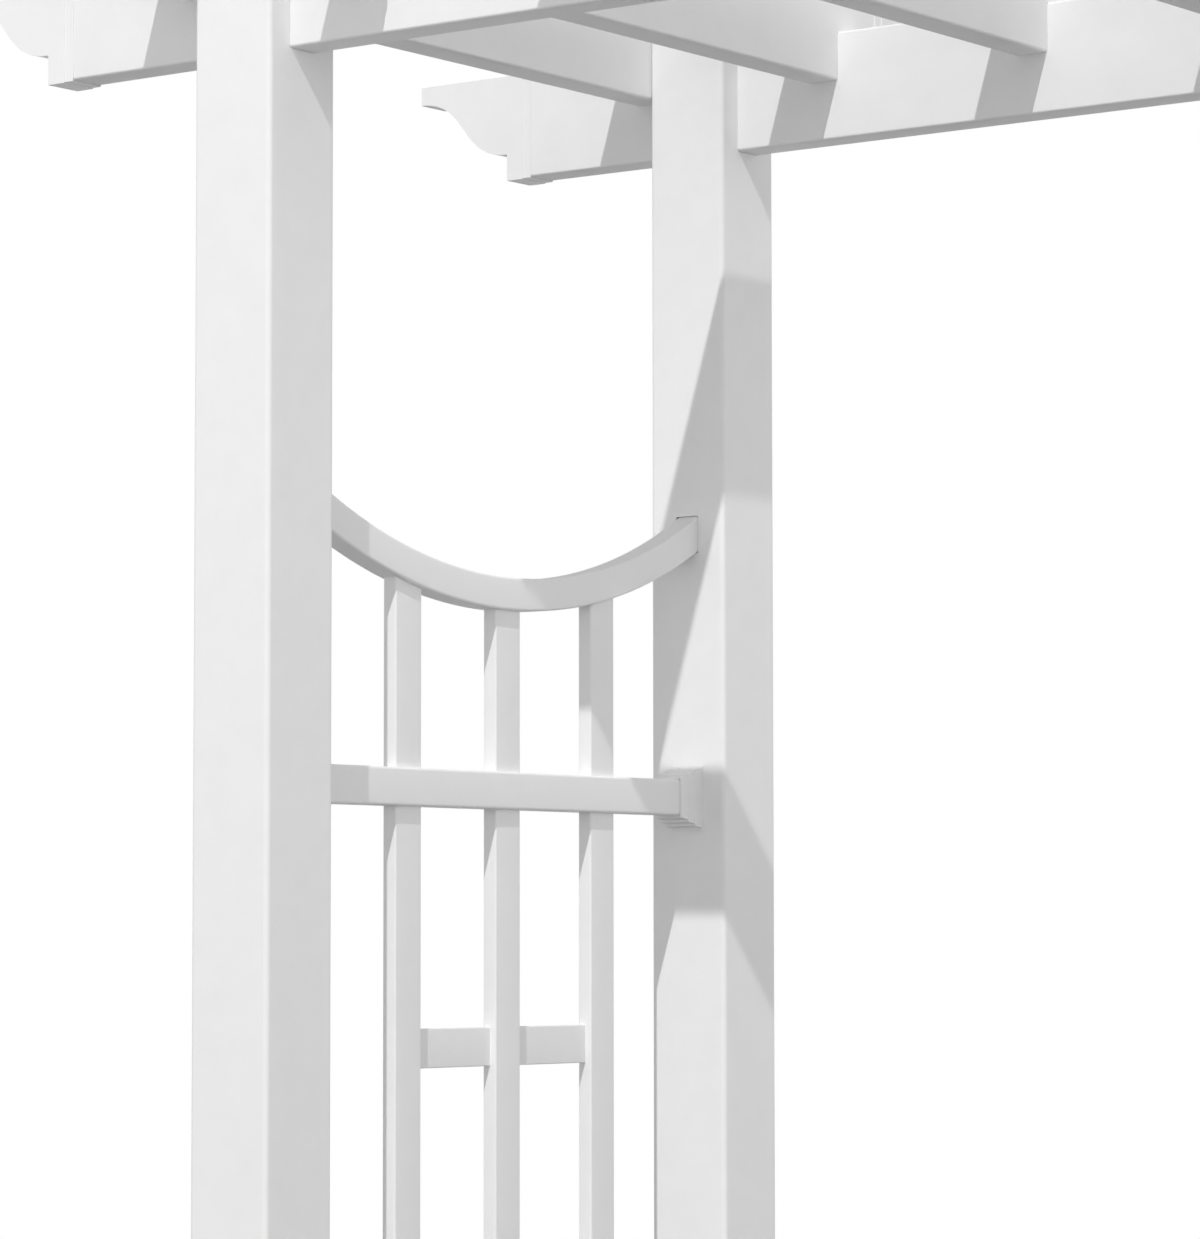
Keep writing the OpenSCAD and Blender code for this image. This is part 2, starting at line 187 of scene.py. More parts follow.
# %% Extruded vinyl
LINE_GAP = 5 * MM
LINE_LENGTH = 900 * MM
WAVE = 60 * MM
VINYL = {"IOR": 1.53, "Specular IOR Level": 0.5}
VINYL_WHITES = ("#ECECEC", "#F4F4F4")
MOST_NOISE = {"start": 0.3, "end": 0.7}  # where most of a noise pattern's values lie
extruded_vinyl, tree = new_material("extruded_satin_vinyl", VINYL)
flow = add(tree, "ShaderNodeAttribute", attribute_name="flow").outputs["Vector"]
along = add(tree, "ShaderNodeMapping", {
    "Vector": flow, "Scale": (1 / LINE_GAP, 1 / LINE_GAP, 1 / LINE_LENGTH)}).outputs["Vector"]
lines = noise(tree, along, 1.0, detail=3.0, roughness=0.55)
waves = noise(tree, flow, 1 / WAVE, detail=4.0, roughness=0.6)
white = blend(tree, waves, *VINYL_WHITES)

# %% Dust near the ground
# Rain splashes a little soil on the lowest 180 mm of a post.
SPLASH = 180 * MM
SPECKLE_SCALE = 90.0
place = here(tree)
height = add(tree, "ShaderNodeSeparateXYZ", {"Vector": place}).outputs["Z"]
low_down = ranged(tree, height, low=0.45, high=0.0, end=SPLASH)
speckle = noise(tree, place, SPECKLE_SCALE, detail=5.0, roughness=0.7)
dusty = blend(tree, maths(tree, "MULTIPLY", low_down, speckle), white, "#BDB5A6")

# %% Sheen and die lines
wire(extruded_vinyl, {
    "Base Color": dusty,
    "Roughness": ranged(tree, waves, low=0.52, high=0.62, **MOST_NOISE),
    "Normal": bump(tree, lines, strength=0.25, distance=0.3 * MM)})

# %% [markdown]
# ## Moulded vinyl
# The end caps, post caps and brackets are injection moulded from the same white
# compound. A mould has no die lines. Its polished steel gives a slightly higher
# gloss, with a soft orange peel of about 3 mm where the plastic shrank as it
# cooled. The pattern needs no direction, so it reads plain Object coordinates.

# %% Moulded vinyl
PEEL = 3 * MM
moulded_vinyl, tree = new_material("moulded_gloss_vinyl", VINYL)
place = here(tree)
peel = noise(tree, place, 1 / PEEL, detail=2.0)
cloud = noise(tree, place, 1 / WAVE, detail=3.0, roughness=0.6)
wire(moulded_vinyl, {
    "Base Color": blend(tree, cloud, *VINYL_WHITES),
    "Roughness": ranged(tree, cloud, low=0.44, high=0.52, **MOST_NOISE),
    "Normal": bump(tree, peel, strength=0.2, distance=0.15 * MM)})

# %% [markdown]
# ## Metal and black plastic
# The post mounts are steel dipped in molten zinc, which freezes in crystals about
# 12 mm across, each a slightly different grey: the spangle. The screws are plain
# stainless steel. The guides inside the posts are black polyethylene, which is
# soft, dull and faintly grained.

# %% Galvanised steel
SPANGLE = 12 * MM
METAL = {"Metallic": 1.0}
galvanised_steel, tree = new_material("galvanised_steel", METAL)
spangle = add(tree, "ShaderNodeTexVoronoi", {"Vector": here(tree), "Scale": 1 / SPANGLE})
shade = add(tree, "ShaderNodeSeparateColor", {"Color": spangle.outputs["Color"]}).outputs
wire(galvanised_steel, {
    "Base Color": blend(tree, shade["Red"], "#8F9499", "#B4B8BB"),
    "Roughness": ranged(tree, shade["Green"], low=0.38, high=0.6)})

# %% Stainless steel
BRUSH = 0.4 * MM
stainless_steel, tree = new_material("stainless_steel", METAL)
brush = noise(tree, here(tree), 1 / BRUSH, detail=2.0)
wire(stainless_steel, {
    "Base Color": blend(tree, brush, "#B5B4B1", "#CFCFCC"),
    "Roughness": ranged(tree, brush, low=0.25, high=0.4)})

# %% Black polyethylene
GRAIN = 1.2 * MM
black_polyethylene, tree = new_material("black_polyethylene", {"IOR": 1.51})
grain = noise(tree, here(tree), 1 / GRAIN, detail=3.0)
wire(black_polyethylene, {
    "Base Color": blend(tree, grain, "#1B1B1D", "#2B2C2E"),
    "Roughness": ranged(tree, grain, low=0.5, high=0.7),
    "Normal": bump(tree, grain, strength=0.4, distance=0.1 * MM)})

# %% [markdown]
# ## A geometry tree for the hollow profile
# Every extruded piece is the same rule: a rounded rectangle drawn along a path,
# less a smaller one drawn along the same path. Geometry Nodes can hold that rule
# once, as a group that other trees use. The core's path runs a little past the
# ends, so that the tube comes out open.

# %% Start and end a geometry tree
def new_tree(name, sockets, has_geometry=True):
    """A geometry tree with named inputs. Returns it, its inputs' sockets and its output node."""
    tree = bpy.data.node_groups.new(name, "GeometryNodeTree")
    if has_geometry:
        tree.interface.new_socket("Geometry", in_out="INPUT", socket_type="NodeSocketGeometry")
    for label, kind in sockets.items():
        tree.interface.new_socket(label, in_out="INPUT", socket_type="NodeSocket" + kind)
    tree.interface.new_socket("Geometry", in_out="OUTPUT", socket_type="NodeSocketGeometry")
    return tree, tree.nodes.new("NodeGroupInput").outputs, tree.nodes.new("NodeGroupOutput")


def end_tree(tree, result, geometry, finish=None):
    """Sends the tree's geometry out, with its finish where it has one."""
    if finish is not None:
        geometry = add(tree, "GeometryNodeSetMaterial", {
            "Geometry": geometry, "Material": finish}).outputs[0]
    tree.links.new(geometry, result.inputs["Geometry"])
    print("tree", tree.name, "with", len(tree.nodes), "nodes")


# %% Take one shape from another
def less(tree, whole, cutter):
    """A mesh with another one cut out of it."""
    return add(tree, "GeometryNodeMeshBoolean", {"Mesh 1": whole, "Mesh 2": cutter},
               operation="DIFFERENCE", solver="EXACT").outputs["Mesh"]


# %% The hollow profile
CORNER_STEPS = 8
LEAST_CORNER = 0.5 * MM
profile_tree, given, result = new_tree("hollow_profile", {
    "Path": "Geometry", "Core Path": "Geometry", "Width": "Float", "Height": "Float",
    "Corner": "Float", "Wall": "Float"}, has_geometry=False)
wall_twice = maths(profile_tree, "MULTIPLY", given["Wall"], 2.0)
skins = []
for path, inset, thick in (
        (given["Path"], 0.0, 0.0), (given["Core Path"], wall_twice, given["Wall"])):
    bend = maths(profile_tree, "SUBTRACT", given["Corner"], thick)
    outline = add(profile_tree, "GeometryNodeCurvePrimitiveQuadrilateral", {
        "Width": maths(profile_tree, "SUBTRACT", given["Width"], inset),
        "Height": maths(profile_tree, "SUBTRACT", given["Height"], inset)})
    outline = add(profile_tree, "GeometryNodeFilletCurve", {
        "Curve": outline.outputs[0], "Count": CORNER_STEPS,
        "Radius": maths(profile_tree, "MAXIMUM", bend, LEAST_CORNER)}, mode="POLY")
    skins.append(add(profile_tree, "GeometryNodeCurveToMesh", {
        "Curve": path, "Profile Curve": outline.outputs[0], "Fill Caps": True}).outputs[0])
end_tree(profile_tree, result, less(profile_tree, *skins))

# %% [markdown]
# ## Straight pieces
# A beam, rafter, rail, baluster or crosspiece is a straight length of profile, in
# some places with notches or slots cut through it. One tree makes the length,
# takes the cuts out of it, and sets a copy on every point that it is given. Each
# point says how its copy turns and how much it stretches. It also shifts the flow,
# so that no two pieces show the same lines.

# %% Vectors, attributes and copies
def xyz(tree, **parts):
    """A vector of the given X, Y and Z. One that isn't given is nought."""
    return add(tree, "ShaderNodeCombineXYZ", parts).outputs[0]


def spot(tree):
    """The X, Y and Z of a point of the geometry."""
    place = add(tree, "GeometryNodeInputPosition").outputs[0]
    return add(tree, "ShaderNodeSeparateXYZ", {0: place}).outputs


def stored(tree, name, kind="FLOAT_VECTOR"):
    """What a point carries under a name."""
    return add(tree, "GeometryNodeInputNamedAttribute", {"Name": name}, data_type=kind).outputs[0]


def turned(tree):
    """The turn that a point carries, as a rotation."""
    return add(tree, "FunctionNodeEulerToRotation", {0: stored(tree, "turn")}).outputs[0]


def mark_flow(tree, geometry, flow):
    """Writes the flow that extruded vinyl reads."""
    return add(tree, "GeometryNodeStoreNamedAttribute", {
        "Geometry": geometry, "Name": "flow", "Value": flow},
        data_type="FLOAT_VECTOR").outputs[0]


def copies(tree, places, original, **placing):
    """A copy of a shape on every point, as one mesh."""
    spread = add(tree, "GeometryNodeInstanceOnPoints", {
        "Points": places, "Instance": original, **placing})
    return add(tree, "GeometryNodeRealizeInstances", {"Geometry": spread.outputs[0]}).outputs[0]


# %% Make one straight length
CORE_OVERRUN = 1 * MM
bar_tree, given, result = new_tree("straight_pieces", {
    "Length": "Float", "Width": "Float", "Height": "Float", "Corner": "Float", "Wall": "Float",
    "Cuts": "Int", "Cut Spacing": "Float", "Cut Size": "Vector", "Cut Place": "Vector",
    "Finish": "Material"})
half = maths(bar_tree, "MULTIPLY", given["Length"], 0.5)
length = {name: given[name] for name in ("Width", "Height", "Corner", "Wall")}
for path, overrun in (("Path", 0.0), ("Core Path", CORE_OVERRUN)):
    far = maths(bar_tree, "ADD", half, overrun)
    near = maths(bar_tree, "MULTIPLY", far, -1.0)
    length[path] = add(bar_tree, "GeometryNodeCurvePrimitiveLine", {
        "Start": xyz(bar_tree, Y=near), "End": xyz(bar_tree, Y=far)}).outputs[0]
bar = add(bar_tree, "GeometryNodeGroup", length, node_tree=profile_tree).outputs[0]

# %% Cut it
# The cuts are spaced evenly about the middle, and all are moved by the cut place.
first = maths(bar_tree, "SUBTRACT", given["Cuts"], 1.0)
first = maths(bar_tree, "MULTIPLY", first, given["Cut Spacing"])
first = maths(bar_tree, "MULTIPLY", first, -0.5)
start = add(bar_tree, "ShaderNodeVectorMath", {
    0: xyz(bar_tree, Y=first), 1: given["Cut Place"]}, operation="ADD").outputs[0]
marks = add(bar_tree, "GeometryNodeMeshLine", {
    "Count": given["Cuts"], "Start Location": start,
    "Offset": xyz(bar_tree, Y=given["Cut Spacing"])}).outputs[0]
cutter = add(bar_tree, "GeometryNodeMeshCube", {"Size": given["Cut Size"]}).outputs[0]
cut_bar = less(bar_tree, bar, copies(bar_tree, marks, cutter))

# %% Set a copy on every point
at = spot(bar_tree)
marked = mark_flow(bar_tree, cut_bar, xyz(bar_tree, X=at["X"], Y=at["Z"], Z=at["Y"]))
stretch = xyz(bar_tree, X=1.0, Y=stored(bar_tree, "stretch", "FLOAT"), Z=1.0)
bars = copies(bar_tree, given["Geometry"], marked, Rotation=turned(bar_tree), Scale=stretch)
moved = add(bar_tree, "ShaderNodeVectorMath", {
    0: stored(bar_tree, "flow"), 1: stored(bar_tree, "shift")}, operation="ADD").outputs[0]
end_tree(bar_tree, result, mark_flow(bar_tree, bars, moved), given["Finish"])

# %% [markdown]
# ## From a tree to a plain mesh
# A tree's result only lives on its modifier, and instances are lost when a model
# is exported. So each result is baked: the modifier's inputs are set by their
# identifiers, the evaluated mesh is copied out, and the modifier goes. Doubles are
# merged, and the normals are worked out again, so that every shell faces outwards.

# %% Points for a tree
FLOW_SHIFT = (3.1, 1.7, 7.3)


def points(places, turn=(0, 0, 0), stretches=None):
    """An object that is only points, with the attributes that the trees read."""
    mesh = bpy.data.meshes.new("points")
    mesh.from_pydata([tuple(p) for p in places], [], [])
    for name, kind in (("turn", "FLOAT_VECTOR"), ("shift", "FLOAT_VECTOR"), ("stretch", "FLOAT")):
        mesh.attributes.new(name, kind, "POINT")
    for i, stretch in enumerate(stretches or [1.0] * len(places)):
        mesh.attributes["turn"].data[i].vector = turn
        mesh.attributes["shift"].data[i].vector = [step * i for step in FLOW_SHIFT]
        mesh.attributes["stretch"].data[i].value = stretch
    return bpy.data.objects.new("points", mesh)


# %% Bake a tree on its points
SHARP = math.radians(32)
WELD = 0.01 * MM
CM3 = 1e-6


def grow(name, base, tree, values):
    """Runs the tree on base and turns base into the plain mesh that comes out."""
    scene.collection.objects.link(base)
    modifier = base.modifiers.new("grow", "NODES")
    modifier.node_group = tree
    for item in tree.interface.items_tree:
        if item.in_out == "INPUT" and item.name in values:
            modifier[item.identifier] = values[item.name]
    evaluated = base.evaluated_get(bpy.context.evaluated_depsgraph_get())
    mesh = bpy.data.meshes.new_from_object(evaluated)
    base.modifiers.remove(modifier)
    base.data = mesh
    base.name = mesh.name = name
    tidy = bmesh.new()
    tidy.from_mesh(mesh)
    bmesh.ops.remove_doubles(tidy, verts=tidy.verts, dist=WELD)
    bmesh.ops.recalc_face_normals(tidy, faces=tidy.faces)
    volume = tidy.calc_volume(signed=True)
    tidy.to_mesh(mesh)
    tidy.free()
    mesh.shade_smooth()
    mesh.set_sharp_from_angle(angle=SHARP)
    print(f"{name}: {len(mesh.polygons)} faces, {volume / CM3:.0f} cm3")
    return base


# %% Put a piece on the body in place of the nodes it stands for
def dress(piece, stood_for):
    """The piece rides on the arbor's one body and replaces the nodes that it stands for."""
    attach(piece, "root")
    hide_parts(*stood_for)


# %% [markdown]
# ## Boards
# The beams and rafters are one profile: a 2 by 6 inch board, hollow, with edges
# rounded to 4 mm. The rafters are notched to a little under half their depth where
# they sit over the beams. All their places come from the frame's boxes, so nothing
# is measured twice.

# %% Read a frame node's box
def middle(name):
    """Where the middle of the node's box is."""
    low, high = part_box(name)
    return (low + high) / 2


def extent(name):
    """How large the node's box is along x, y and z."""
    low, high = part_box(name)
    return high - low


# %% Cut pieces to length
def straight_pieces(name, stood_for, size, corner, wall, cuts=None, **placing):
    """One straight piece in the middle of each node's box. The size is length, width, height."""
    length, width, height = size
    pieces = grow(name, points([middle(n) for n in stood_for], **placing), bar_tree, {
        "Length": length, "Width": width, "Height": height, "Corner": corner, "Wall": wall,
        "Finish": extruded_vinyl, **(cuts or {"Cuts": 0})})
    dress(pieces, stood_for)


# %% Beams
BOARD_CORNER = 4 * MM
BOARD_WALL = 3 * MM
beam_names = [f"beam_{end}" for end in ENDS]
beam_size = extent(beam_names[0])
straight_pieces("beams", beam_names, beam_size, BOARD_CORNER, BOARD_WALL,
                turn=(0, 0, math.pi / 2))

# %% Rafters
FIT = 0.4 * MM
RAFTERS = range(1, 7)
rafter_names = [f"rafter_{i}" for i in RAFTERS]
rafter_size = extent(rafter_names[0])
notch_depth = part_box("beam_front")[1].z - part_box("rafter_1")[0].z
beam_gap = middle("beam_rear").y - middle("beam_front").y
straight_pieces("rafters", rafter_names, rafter_size.yxz, BOARD_CORNER, BOARD_WALL, cuts={
    "Cuts": 2, "Cut Spacing": beam_gap,
    "Cut Size": (2 * rafter_size.x, beam_size.y + 2 * FIT, 2 * notch_depth),
    "Cut Place": (0, 0, -rafter_size.z / 2)})

# %% [markdown]
# ## Rails, balusters and crosspieces
# The rails are slotted for the balusters, so that the panel needs no fixings of its
# own. The crosspieces are thin flat strips threaded through the balusters. All of
# them are lengths of profile from the same tree.

# %% Straight rails
# The middle rail is slotted right through. The bottom rail keeps its lower wall, and
# the balusters stand on that.
RAIL_CORNER = 3.5 * MM
RAIL_WALL = 3 * MM
RAILS = ("middle", "bottom")
BALUSTERS = (1, 2, 3)
baluster_size = extent("baluster_left_1")
slot_plan = (baluster_size.x + 2 * FIT, baluster_size.y + 2 * FIT)
pitch = middle("baluster_left_2").y - middle("baluster_left_1").y
for kind in RAILS:
    rail_names = [f"{kind}_rail_{side}" for side in SIDES]
    rail_size = extent(rail_names[0])
    lift = RAIL_WALL + rail_size.z / 2 if kind == "bottom" else 0.0
    straight_pieces(f"{kind}_rails", rail_names, rail_size.yxz, RAIL_CORNER, RAIL_WALL, cuts={
        "Cuts": len(BALUSTERS), "Cut Spacing": pitch,
        "Cut Size": (*slot_plan, 2 * rail_size.z), "Cut Place": (0, 0, lift)})

# %% Balusters
# Turned up on end: the tree's Y, along the piece, becomes Z.
UPRIGHT = (math.pi / 2, 0, 0)
BALUSTER_CORNER = 3 * MM
BALUSTER_WALL = 2 * MM
for side in SIDES:
    baluster_names = [f"baluster_{side}_{i}" for i in BALUSTERS]
    heights = [extent(n).z for n in baluster_names]
    tallest = max(heights)
    straight_pieces(
        f"balusters_{side}", baluster_names, (tallest, baluster_size.x, baluster_size.y),
        BALUSTER_CORNER, BALUSTER_WALL, turn=UPRIGHT, stretches=[h / tallest for h in heights])

# %% Crosspieces
STRIP_CORNER = 1.5 * MM
STRIP_WALL = 1.5 * MM
cross_names = [f"crosspiece_{row}_{side}" for row in ("upper", "lower") for side in SIDES]
cross_size = extent(cross_names[0])
straight_pieces("crosspieces", cross_names, cross_size.yxz, STRIP_CORNER, STRIP_WALL)

# %% [markdown]
# ## The arched rail
# The top rail of each panel is a length of the rail profile bent to an arc that
# sags between the posts. An arc is a rule, so a tree draws it: it sweeps the
# hollow profile along the arc, stands it up, and cuts a slot for each baluster at
# the points that it is given. The flow is taken from the arc's own length, so that
# the die lines follow the bend.

# %% The tree for an arched rail
ARC_POINTS = 97
ARC_OVERRUN = 0.002  # radians
arch_tree, given, result = new_tree("arched_rail", {
    "Radius": "Float", "Half Angle": "Float", "Width": "Float", "Height": "Float",
    "Corner": "Float", "Wall": "Float", "Centre": "Vector", "Slot Size": "Vector",
    "Finish": "Material"})
arc = {"Width": given["Height"], "Height": given["Width"],
       "Corner": given["Corner"], "Wall": given["Wall"]}
for path, overrun in (("Path", 0.0), ("Core Path", ARC_OVERRUN)):
    half = maths(arch_tree, "ADD", given["Half Angle"], overrun)
    arc[path] = add(arch_tree, "GeometryNodeCurveArc", {
        "Resolution": ARC_POINTS, "Radius": given["Radius"],
        "Start Angle": maths(arch_tree, "SUBTRACT", -math.pi / 2, half),
        "Sweep Angle": maths(arch_tree, "MULTIPLY", half, 2.0)}).outputs[0]
bent = add(arch_tree, "GeometryNodeGroup", arc, node_tree=profile_tree).outputs[0]

# %% Mark the flow round the bend
# At a point of the flat arc, the distance from the centre is x across the profile,
# and the angle times the radius is the distance along it.
at = spot(arch_tree)
flat = xyz(arch_tree, X=at["X"], Y=at["Y"])
across = add(arch_tree, "ShaderNodeVectorMath", {0: flat}, operation="LENGTH").outputs["Value"]
down = maths(arch_tree, "MULTIPLY", at["Y"], -1.0)
angle = maths(arch_tree, "ARCTAN2", at["X"], down)
distance = maths(arch_tree, "MULTIPLY", angle, given["Radius"])
marked = mark_flow(arch_tree, bent, xyz(arch_tree, X=across, Y=at["Z"], Z=distance))

# %% Stand the arc up and slot it
standing = add(arch_tree, "GeometryNodeTransform", {
    "Geometry": marked, "Translation": given["Centre"],
    "Rotation": (math.pi / 2, 0, math.pi / 2)}).outputs[0]
slot = add(arch_tree, "GeometryNodeMeshCube", {"Size": given["Slot Size"]}).outputs[0]
slotted = less(arch_tree, standing, copies(arch_tree, given["Geometry"], slot))
end_tree(arch_tree, result, slotted, given["Finish"])

# %% Arched rails
# The frame's box gives the rest: the arc's middle line ends where the box does, and
# its underside dips to the bottom of it. Each slot ends just above its baluster.
ARCH_RADIUS = 868 * MM
ARCH_HEIGHT = 44 * MM
SLOT_HEIGHT = 88 * MM
middle_radius = ARCH_RADIUS + ARCH_HEIGHT / 2
for side in SIDES:
    name = f"arched_rail_{side}"
    low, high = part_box(name)
    centre = Vector(((low.x + high.x) / 2, 0, low.z + ARCH_RADIUS + ARCH_HEIGHT))
    slots = [(centre.x, middle(n).y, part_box(n)[1].z + FIT - SLOT_HEIGHT / 2)
             for n in (f"baluster_{side}_{i}" for i in BALUSTERS)]
    arched_rail = grow(name + "_bent", points(slots), arch_tree, {
        "Radius": middle_radius, "Half Angle": math.asin(high.y / middle_radius),
        "Width": high.x - low.x, "Height": ARCH_HEIGHT, "Corner": RAIL_CORNER,
        "Wall": RAIL_WALL, "Centre": centre, "Slot Size": (*slot_plan, SLOT_HEIGHT),
        "Finish": extruded_vinyl})
    dress(arched_rail, [name])

# %% [markdown]
# ## Posts and mouldings
# The posts have routed holes, and the mouldings have pockets and steps. The frame
# already holds those shapes exactly, but with knife edges, and nothing real has a
# knife edge: it is the soft line of light along an edge that makes a white object
# readable. So each is a copy of its frame mesh with its loose triangles merged,
# its flat faces joined, and its edges rounded by a small bevel.

# %% Round the edges of a copy
CAD_WELD = 0.005 * MM
FLAT = math.radians(0.3)
EDGE = math.radians(28)


def eased(name, stood_for, finish, radius, steps=2):
    """A copy of frame nodes as one mesh with softened edges."""
    mesh = bmesh.new()
    for node in stood_for:
        mesh.from_mesh(nodes[node].data)
    bmesh.ops.remove_doubles(mesh, verts=mesh.verts, dist=CAD_WELD)
    bmesh.ops.dissolve_limit(mesh, angle_limit=FLAT, verts=mesh.verts, edges=mesh.edges)
    data = bpy.data.meshes.new(name)
    mesh.to_mesh(data)
    mesh.free()
    data.materials.clear()
    data.materials.append(finish)
    data.shade_smooth()
    piece = bpy.data.objects.new(name, data)
    scene.collection.objects.link(piece)
    bevel = piece.modifiers.new("ease", "BEVEL")
    bevel.width = radius
    bevel.segments = steps
    bevel.limit_method = "ANGLE"
    bevel.angle_limit = EDGE
    bevel.use_clamp_overlap = True
    piece.modifiers.new("weights", "WEIGHTED_NORMAL")
    evaluated = piece.evaluated_get(bpy.context.evaluated_depsgraph_get())
    baked = bpy.data.meshes.new_from_object(evaluated)
    piece.modifiers.clear()
    piece.data = baked
    print(f"{name}: {len(baked.polygons)} faces")
    return piece


# %% Beads of cement
# A moulding is cemented on, and a fine bead is squeezed out at its mouth. The bead
# fills the gap round the board and bites a little into it.
BEAD = 1.5 * MM
BEAD_WALL = 1.05 * FIT


def beads(piece, places, size, corner):
    """Joins a thin ring to a moulding at each mouth where a board or rail goes in."""
    rings = grow("beads", points(places), bar_tree, {
        "Length": BEAD, "Width": size.x + 2 * FIT, "Height": size.z + 2 * FIT,
        "Corner": corner + FIT, "Wall": BEAD_WALL, "Cuts": 0, "Finish": moulded_vinyl})
    joined = bmesh.new()
    joined.from_mesh(piece.data)
    joined.from_mesh(rings.data)
    joined.to_mesh(piece.data)
    joined.free()
    bpy.data.objects.remove(rings)


# %% Posts
# A post carries its flow too, taken from its middle and shifted like the others.
POST_SHIFT = 2.3
for number, corner in enumerate(CORNERS):
    node = f"post_{corner}"
    post = eased(node + "_eased", [node], extruded_vinyl, radius=1.2 * MM)
    post_middle = middle(node)
    flow = post.data.attributes.new("flow", "FLOAT_VECTOR", "POINT")
    for vertex, mark in zip(post.data.vertices, flow.data):
        place = vertex.co - post_middle
        mark.vector = (place.x + POST_SHIFT * number, place.y, place.z)
    dress(post, [node])

# %% Post caps
for corner in CORNERS:
    node = f"post_cap_{corner}"
    cap = eased(node + "_eased", [node], moulded_vinyl, radius=1.5 * MM, steps=3)
    dress(cap, [node])

# %% Brackets
BRACKET_LENGTH = 45 * MM
for side in SIDES:
    node = f"rail_brackets_{side}"
    brackets = eased(node + "_eased", [node], moulded_vinyl, radius=0.8 * MM)
    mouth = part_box(node)[1].y - BRACKET_LENGTH
    rails = [middle(f"{kind}_rail_{side}") for kind in RAILS]
    beads(brackets, [(rail.x, end * mouth, rail.z) for rail in rails for end in (-1, 1)],
          rail_size, RAIL_CORNER)
    dress(brackets, [node])

# %% [markdown]
# ## Scrolled end caps
# All sixteen end caps come out of one mould. One is eased as above and moved to
# the origin, and a small tree then sets a copy on every board end.

# %% The tree that sets copies on points
copy_tree, given, result = new_tree("copies_on_points", {
    "Original": "Object", "Finish": "Material"})
original = add(copy_tree, "GeometryNodeObjectInfo", {
    "Object": given["Original"]}).outputs["Geometry"]
set_out = copies(copy_tree, given["Geometry"], original, Rotation=turned(copy_tree))
end_tree(copy_tree, result, set_out, given["Finish"])

# %% End caps
PATTERN = "rafter_cap_front_1"
pattern_cap = eased("pattern_cap", [PATTERN], moulded_vinyl, radius=1.0 * MM, steps=3)
cap_middle = middle(PATTERN)
beads(pattern_cap, [(cap_middle.x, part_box(PATTERN)[1].y, middle("rafter_1").z)],
      rafter_size, BOARD_CORNER)
pattern_cap.data.transform(Matrix.Translation(-cap_middle))
groups = {
    "rafter_caps_front": ([f"rafter_cap_front_{i}" for i in RAFTERS], 0),
    "rafter_caps_rear": ([f"rafter_cap_rear_{i}" for i in RAFTERS], math.pi),
    "beam_caps_left": ([f"beam_cap_{end}_left" for end in ENDS], -math.pi / 2),
    "beam_caps_right": ([f"beam_cap_{end}_right" for end in ENDS], math.pi / 2),
}
for name, (caps, angle) in groups.items():
    end_caps = grow(name, points([middle(n) for n in caps], turn=(0, 0, angle)), copy_tree, {
        "Original": pattern_cap, "Finish": moulded_vinyl})
    dress(end_caps, caps)
bpy.data.objects.remove(pattern_cap)

# %% [markdown]
# ## Screws
# A pan-head screw holds each rafter down on each beam. Its half section is turned
# once round its axis, with a round recess for the driver, and the same small tree
# sets one on each rafter where the frame has it.

# %% Turn one screw
# Each corner of the half section is a radius and a height, in millimetres.
SECTION = [
    (0.0, 1.2), (1.9, 1.2), (2.0, 2.9), (3.4, 2.8), (4.9, 2.1), (5.8, 1.0), (6.0, 0.0),
    (3.0, 0.0), (3.0, -93.0), (0.0, -98.0)]
SCREW_STEPS = 20
turning = bmesh.new()
ring = [turning.verts.new((radius * MM, 0, up * MM)) for radius, up in SECTION]
edges = [turning.edges.new(pair) for pair in zip(ring, ring[1:])]
bmesh.ops.spin(turning, geom=ring + edges, cent=(0, 0, 0), axis=(0, 0, 1),
               angle=math.tau, steps=SCREW_STEPS)
bmesh.ops.remove_doubles(turning, verts=turning.verts, dist=WELD)
bmesh.ops.recalc_face_normals(turning, faces=turning.faces)
screw_mesh = bpy.data.meshes.new("pattern_screw")
turning.to_mesh(screw_mesh)
turning.free()
pattern_screw = bpy.data.objects.new("pattern_screw", screw_mesh)
scene.collection.objects.link(pattern_screw)

# %% Set the screws on the rafters
seats = [(middle(rafter).x, middle(beam).y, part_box(rafter)[1].z)
         for rafter in rafter_names for beam in beam_names]
screws = grow("rafter_screws_turned", points(seats), copy_tree, {
    "Original": pattern_screw, "Finish": stainless_steel})
dress(screws, ["rafter_screws"])
bpy.data.objects.remove(pattern_screw)

# %% [markdown]
# ## Parts that stay as the frame has them
# The steel mounts and their guides are hidden in the posts, and the bracket screws
# are hidden in the brackets. Their shapes are right, so they only get a finish.

# %% Finish the hidden parts
HIDDEN = {
    "post_mount": galvanised_steel, "post_guides": black_polyethylene,
    "bracket_screws": stainless_steel}
for name, node in nodes.items():
    for beginning, finish in HIDDEN.items():
        if name.startswith(beginning):
            for holder in node.material_slots:
                holder.material = finish

# %% [markdown]
# ## Floor, sky and sun
# White on white is read by its shadows alone. The key light stands where the sun
# stood: in front, a little to the right, and 48 degrees up. It throws the rafters'
# shadows down on the beams, posts and rails. A plain pale sky fills the shadows.
# It is brighter near the horizon than overhead, so that the tops don't clip, and a
# little brighter on the right, where the open side was. The floor and the sky look
# white to the camera and in reflections, and the floor keeps the shadow.

# %% Sun
SUN_POWER = 1.95
SUN_SPREAD = math.radians(0.6)
SUN_DIRECTION = Vector((-0.297, 0.862, -1))
sun_data = bpy.data.lights.new("sun", "SUN")
sun_data.energy = SUN_POWER
sun_data.angle = SUN_SPREAD
sun = bpy.data.objects.new("sun", sun_data)
sun.rotation_euler = SUN_DIRECTION.to_track_quat("-Z", "Y").to_euler()
scene.collection.objects.link(sun)

# %% Rays that see the background
WHITE = colour("#FFFFFF")


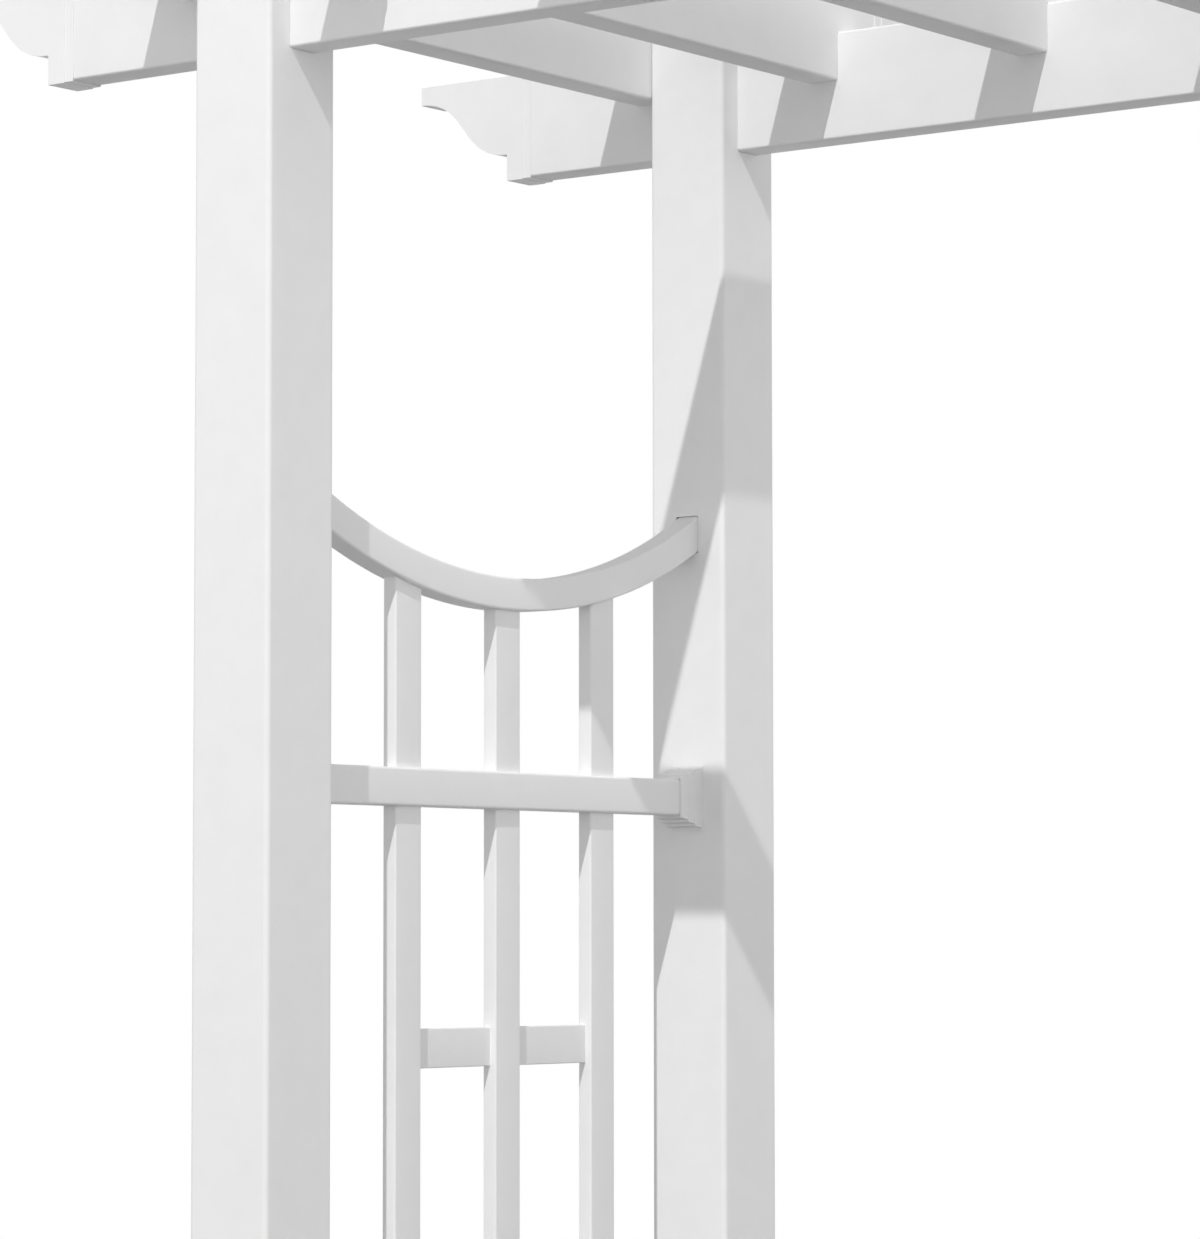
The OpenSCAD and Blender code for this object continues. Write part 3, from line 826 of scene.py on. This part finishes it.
def seen_rays(tree):
    """One for rays from the camera, off gloss or through glass, which see white, else nought."""
    rays = add(tree, "ShaderNodeLightPath").outputs
    seen = rays["Is Camera Ray"]
    for kind in ("Is Glossy Ray", "Is Transmission Ray"):
        seen = maths(tree, "MAXIMUM", seen, rays[kind])
    return seen


def two_looks(tree, end, lighting, seen):
    """Ends a tree with one shader that lights the arbor and one that is seen."""
    both = add(tree, "ShaderNodeMixShader", {
        0: seen_rays(tree), 1: lighting.outputs[0], 2: seen.outputs[0]})
    add(tree, end, {"Surface": both.outputs[0]})


# %% Sky
AT_HORIZON = 1.19
OVERHEAD = 0.08
RIGHTWARD = 0.25
world = bpy.data.worlds.new("sky")
scene.world = world
world.use_nodes = True
tree = world.node_tree
tree.nodes.clear()
look = add(tree, "ShaderNodeTexCoord").outputs["Generated"]
way = add(tree, "ShaderNodeSeparateXYZ", {"Vector": look}).outputs
level = ranged(tree, way["Z"], low=AT_HORIZON, high=OVERHEAD)
lean = maths(tree, "MULTIPLY", way["X"], RIGHTWARD)
light = add(tree, "ShaderNodeBackground", {
    "Color": WHITE, "Strength": maths(tree, "ADD", level, lean)})
paper = add(tree, "ShaderNodeBackground", {"Color": WHITE, "Strength": 1.0})
two_looks(tree, "ShaderNodeOutputWorld", light, paper)

# %% Floor
FLOOR_RADIUS = 9.0
FLOOR_SIDES = 96
FLOOR_DROP = 0.5 * MM
GLOW = 0.38
ground = bmesh.new()
bmesh.ops.create_circle(ground, cap_ends=True, segments=FLOOR_SIDES, radius=FLOOR_RADIUS)
floor_mesh = bpy.data.meshes.new("floor")
ground.to_mesh(floor_mesh)
ground.free()
floor_mesh.transform(Matrix.Translation((0, 0, -FLOOR_DROP)))
floor = bpy.data.objects.new("floor", floor_mesh)
scene.collection.objects.link(floor)
paper_floor = bpy.data.materials.new("paper_floor")
paper_floor.use_nodes = True
tree = paper_floor.node_tree
tree.nodes.clear()
plain = add(tree, "ShaderNodeBsdfDiffuse", {"Color": colour("#808080")})
pale = add(tree, "ShaderNodeBsdfDiffuse", {"Color": colour("#E0E0E0")})
glow = add(tree, "ShaderNodeEmission", {"Color": WHITE, "Strength": GLOW})
sheet = add(tree, "ShaderNodeAddShader", {0: pale.outputs[0], 1: glow.outputs[0]})
two_looks(tree, "ShaderNodeOutputMaterial", plain, sheet)
floor_mesh.materials.append(paper_floor)

# %% [markdown]
# ## Last lines
# The view transform is Standard, so a colour renders about as it is written. The
# dressed arbor must not be larger than the frame.

# %% Set the view transform
scene.view_settings.view_transform = "Standard"
